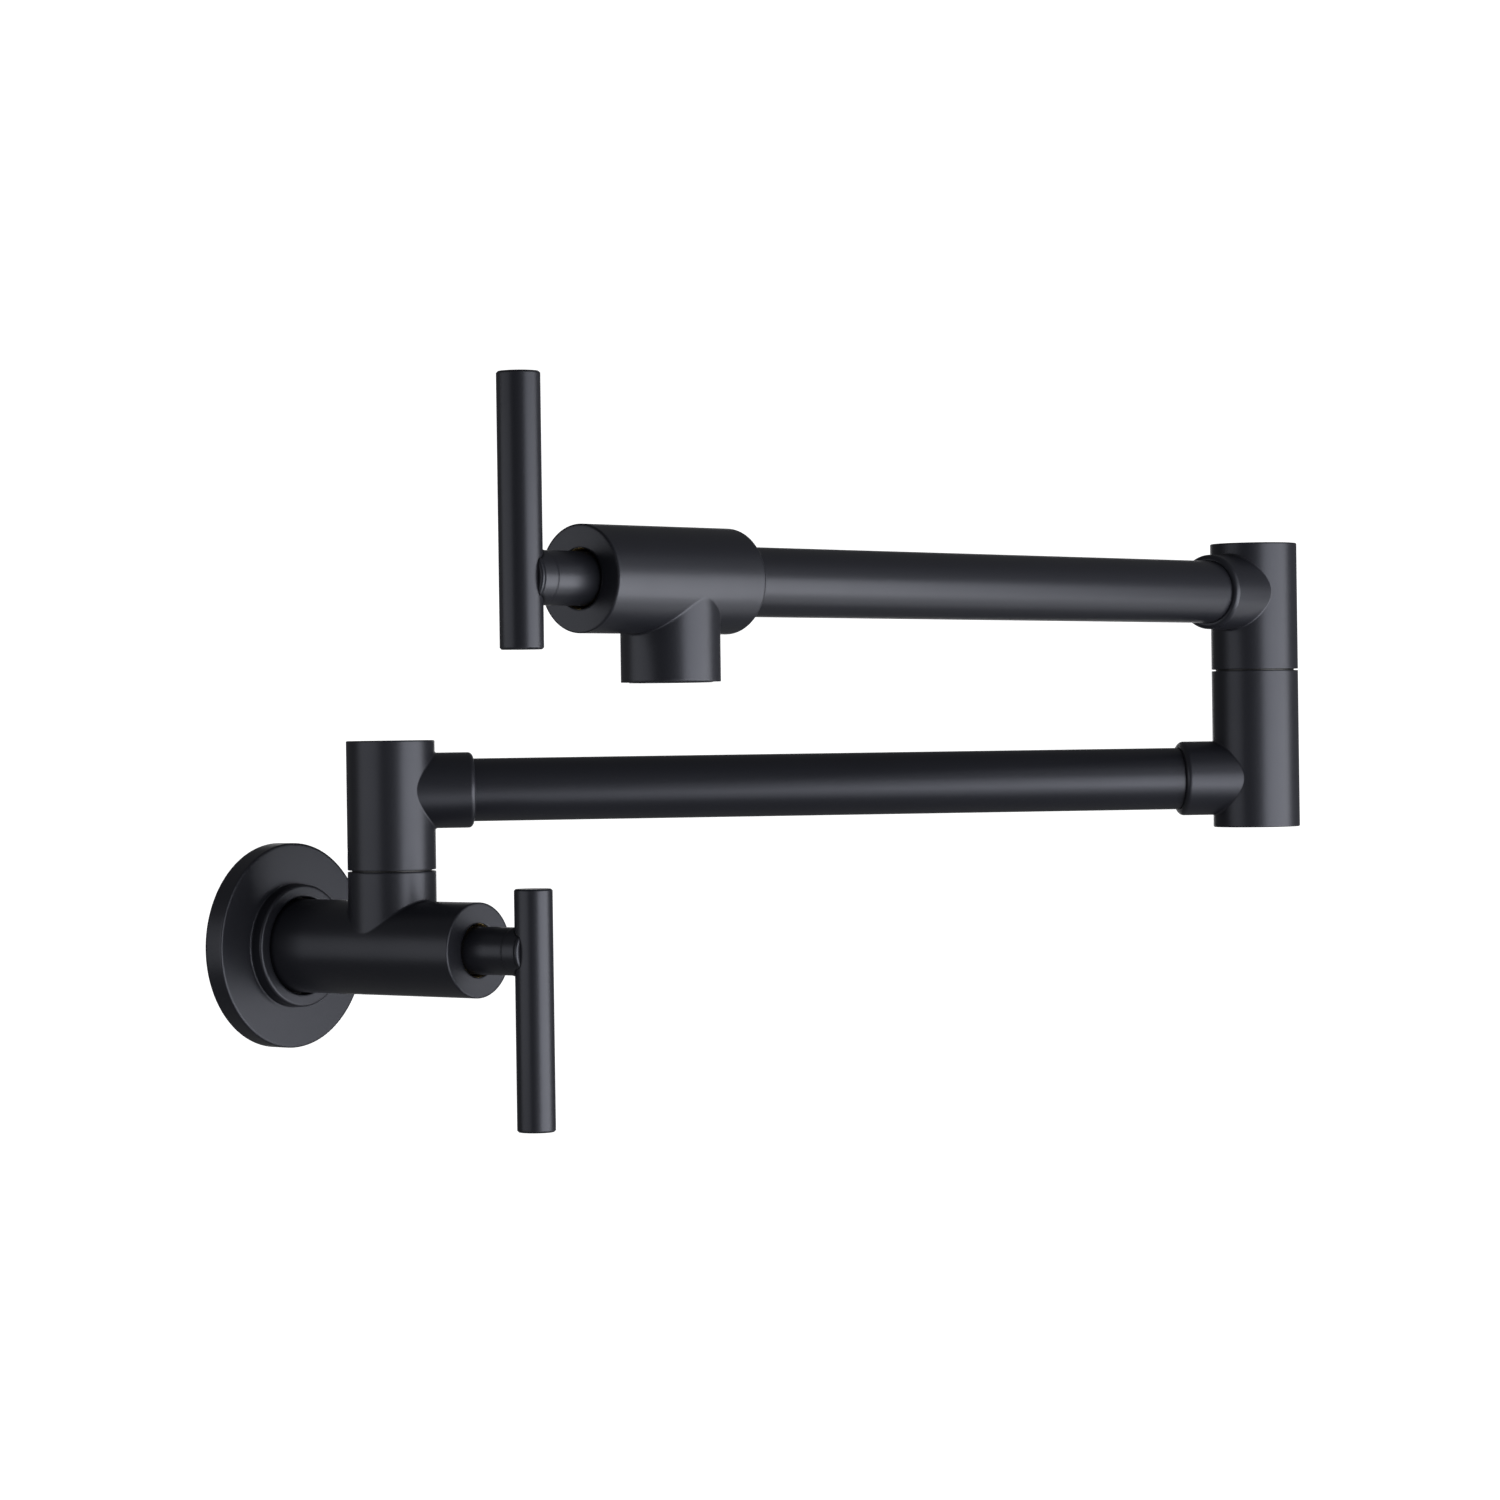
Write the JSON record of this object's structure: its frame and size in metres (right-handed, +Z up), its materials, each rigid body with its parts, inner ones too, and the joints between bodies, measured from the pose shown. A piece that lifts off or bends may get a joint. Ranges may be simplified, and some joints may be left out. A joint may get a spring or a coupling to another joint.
{
  "type": "wall mounted pot filler",
  "caption": "Wall mounted pot filler: round wall flange, folding arm of tubes on swivels, and bar-handled valves at the wall and at the downward spout.",
  "frame": {"origin": "middle of the inlet's mouth, in the plane of the wall", "axes": "+Y into the wall along the inlet, +Z up, +X to the right for someone who faces the wall"},
  "size_m": [0.3609, 0.2554, 0.2208],
  "materials": {
    "black_finish": "matte black coating on brass",
    "brass": "turned brass",
    "rubber": "moulded rubber",
    "white_plastic": "moulded plastic",
    "black_plastic": "moulded plastic",
    "ceramic": "lapped ceramic",
    "steel": "plain steel"
  },
  "bodies": {
    "wall_valve": {"wall_flange": "black_finish", "flange_o_ring": "rubber", "lower_valve_body": "black_finish", "inlet_washer": "rubber", "wall_spigot": "brass", "wall_spigot_o_rings": "rubber", "wall_thrust_washer": "black_plastic", "lower_cartridge_body": "brass", "lower_cartridge_nut": "brass", "lower_cartridge_o_ring": "rubber", "lower_fixed_disc": "ceramic", "lower_seat_seal": "rubber"},
    "lower_handle": {"lower_stem": "brass", "lower_stem_o_ring": "rubber", "lower_moving_disc": "ceramic", "lower_hub": "black_finish", "lower_bar": "black_finish", "lower_bar_screw": "steel", "lower_hub_screw": "steel"},
    "lower_arm": {"wall_swivel_body": "black_finish", "wall_swivel_screw": "steel", "lower_tube": "black_finish", "lower_tube_seals": "rubber", "elbow_lower_body": "black_finish", "elbow_spigot": "brass", "elbow_spigot_o_rings": "rubber", "elbow_thrust_washer": "black_plastic"},
    "upper_arm": {"elbow_upper_body": "black_finish", "elbow_screw": "steel", "upper_tube": "black_finish", "upper_tube_seals": "rubber", "spout_valve_body": "black_finish", "upper_cartridge_body": "brass", "upper_cartridge_nut": "brass", "upper_cartridge_o_ring": "rubber", "upper_fixed_disc": "ceramic", "upper_seat_seal": "rubber", "aerator_housing": "black_finish", "aerator_screen": "steel", "aerator_insert": "white_plastic", "aerator_gasket": "rubber"},
    "upper_handle": {"upper_stem": "brass", "upper_stem_o_ring": "rubber", "upper_moving_disc": "ceramic", "upper_hub": "black_finish", "upper_bar": "black_finish", "upper_bar_screw": "steel", "upper_hub_screw": "steel"}
  },
  "joints": [
    {"name": "lower_arm_swing", "type": "hinge", "parent": "wall_valve", "child": "lower_arm", "pos_m": [0, -0.0505, 0.0497], "axis": [0, 0, 1], "range_deg": [-137.4, 42.6]},
    {"name": "upper_arm_swing", "type": "hinge", "parent": "lower_arm", "child": "upper_arm", "pos_m": [0.20758, -0.24138, 0.1098], "axis": [0, 0, 1], "continuous": true},
    {"name": "lower_handle_turn", "type": "hinge", "parent": "wall_valve", "child": "lower_handle", "pos_m": [0, -0.087, 0], "axis": [0, -1, 0], "range_deg": [0, 90]},
    {"name": "upper_handle_turn", "type": "hinge", "parent": "upper_arm", "child": "upper_handle", "pos_m": [-0.11051, -0.22526, 0.1098], "axis": [-0.9987, 0.0506, 0], "range_deg": [0, 90]}
  ]
}
